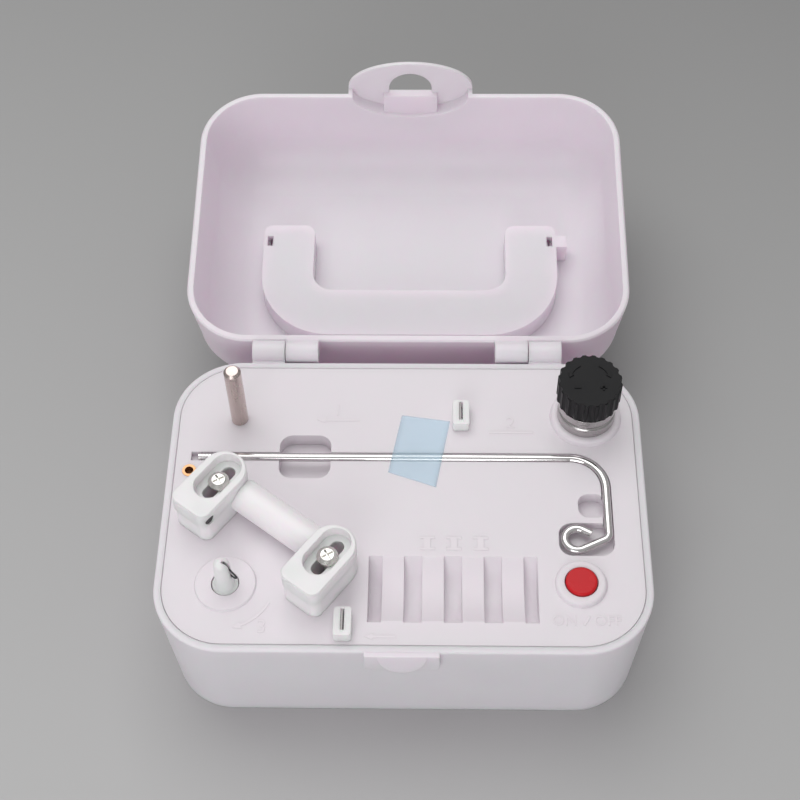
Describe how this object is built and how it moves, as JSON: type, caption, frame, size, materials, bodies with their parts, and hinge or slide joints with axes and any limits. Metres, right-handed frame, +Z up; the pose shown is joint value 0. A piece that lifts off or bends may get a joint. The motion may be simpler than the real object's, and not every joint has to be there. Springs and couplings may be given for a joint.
{
  "type": "electric bobbin winder",
  "caption": "Portable electric bobbin winder in a hinged carrying case: motor spindle, sliding bobbin gauge, thread tension knob, guide rod, spool pin and storage row.",
  "frame": {"origin": "centre of the base's underside, on the table", "axes": "+X to the right as the user faces the deck, +Y to the back towards the lid hinge, +Z up"},
  "size_m": [0.166, 0.249, 0.079],
  "materials": {
    "shell": "fine satin texture",
    "deck": "fine satin texture",
    "white": "semi-gloss",
    "black": "satin",
    "red": "semi-gloss",
    "lens": "clear",
    "steel": "bright",
    "nickel": "polished",
    "dark_steel": "blued",
    "brass": "turned",
    "motor_can": "zinc plated",
    "grip": "matte",
    "tape": "clear film",
    "board": "solder mask",
    "cell": "plain sleeve"
  },
  "bodies": {
    "base": {"base_shell": "shell", "deck_plate": "deck", "base_pan": "shell", "pan_screws": "steel", "grip_pads": "grip", "hinge_pins": "steel", "spool_pin": "nickel", "brass_insert": "brass", "thread_clips": "white", "clip_plates": "dark_steel", "tension_stud": "steel", "lower_disc": "steel", "upper_disc": "steel", "tension_spring": "steel", "upper_bush": "brass", "lower_bush": "brass", "motor": "motor_can", "motor_screws": "steel", "gear_plate": "white", "plate_screws": "steel", "gauge_screws": "nickel", "push_switch": "steel", "control_board": "board", "board_screws": "steel", "dc_inlet": "black", "battery_cells": "cell", "battery_contacts": "steel"},
    "lid": {"lid_shell": "shell", "handle_pins": "steel"},
    "handle": {"handle": "shell"},
    "rod": {"guide_rod": "nickel", "transit_tape": "tape"},
    "washer": {"thrust_washer": "steel"},
    "knob": {"tension_knob": "black"},
    "spindle": {"bobbin_post": "white", "spindle_spring": "dark_steel", "spindle_shaft": "steel", "spindle_gear": "white"},
    "rotor": {"motor_shaft": "steel", "motor_pinion": "brass"},
    "gauge": {"gauge_base": "white", "gauge_caps": "white", "beam_sender": "lens", "beam_receiver": "black"},
    "button": {"push_button": "red", "switch_plunger": "black"},
    "door": {"battery_door": "shell"}
  },
  "joints": [
    {"name": "lid_hinge", "type": "hinge", "parent": "base", "child": "lid", "pos_m": [0, 0.0628, 0.05], "axis": [1, 0, 0], "range_deg": [0, 173.4]},
    {"name": "handle_hinge", "type": "hinge", "parent": "lid", "child": "handle", "pos_m": [0, 0.13552, 0.02097], "axis": [1, 0, 0], "range_deg": [0, 95]},
    {"name": "knob_turn", "type": "hinge", "parent": "washer", "child": "knob", "pos_m": [0.06375, 0.0342, 0.067], "axis": [0, 0, 1], "range_deg": [-300, 300]},
    {"name": "knob_travel", "type": "slide", "parent": "base", "child": "washer", "axis": [0, 0, 1], "range_m": [-0.0006, 0.0006], "deforming": ["tension_spring"]},
    {"name": "button_press", "type": "slide", "parent": "base", "child": "button", "axis": [0, 0, -1], "range_m": [0, 0.0018], "stiffness_N_per_m": 300, "springref_m": -0.001},
    {"name": "spindle_spin", "type": "hinge", "parent": "base", "child": "spindle", "pos_m": [-0.059, -0.0335, 0.05], "axis": [0, 0, 1], "continuous": true},
    {"name": "motor_spin", "type": "hinge", "parent": "base", "child": "rotor", "pos_m": [-0.0397, -0.0335, 0.038], "axis": [0, 0, 1], "continuous": true},
    {"name": "gauge_slide", "type": "slide", "parent": "base", "child": "gauge", "axis": [0.6018, 0.7986, 0], "range_m": [-0.0045, 0.0045]},
    {"name": "rod_lift", "type": "slide", "parent": "base", "child": "rod", "axis": [0, 0, 1], "range_m": [0, 0.025]},
    {"name": "door_slide", "type": "slide", "parent": "base", "child": "door", "axis": [1, 0, 0], "range_m": [0, 0.004]}
  ],
  "couplings": [
    {"joint": "motor_spin", "follows": "spindle_spin", "ratio": -3},
    {"joint": "knob_travel", "follows": "knob_turn", "m_per_rad": 0.00011141}
  ]
}
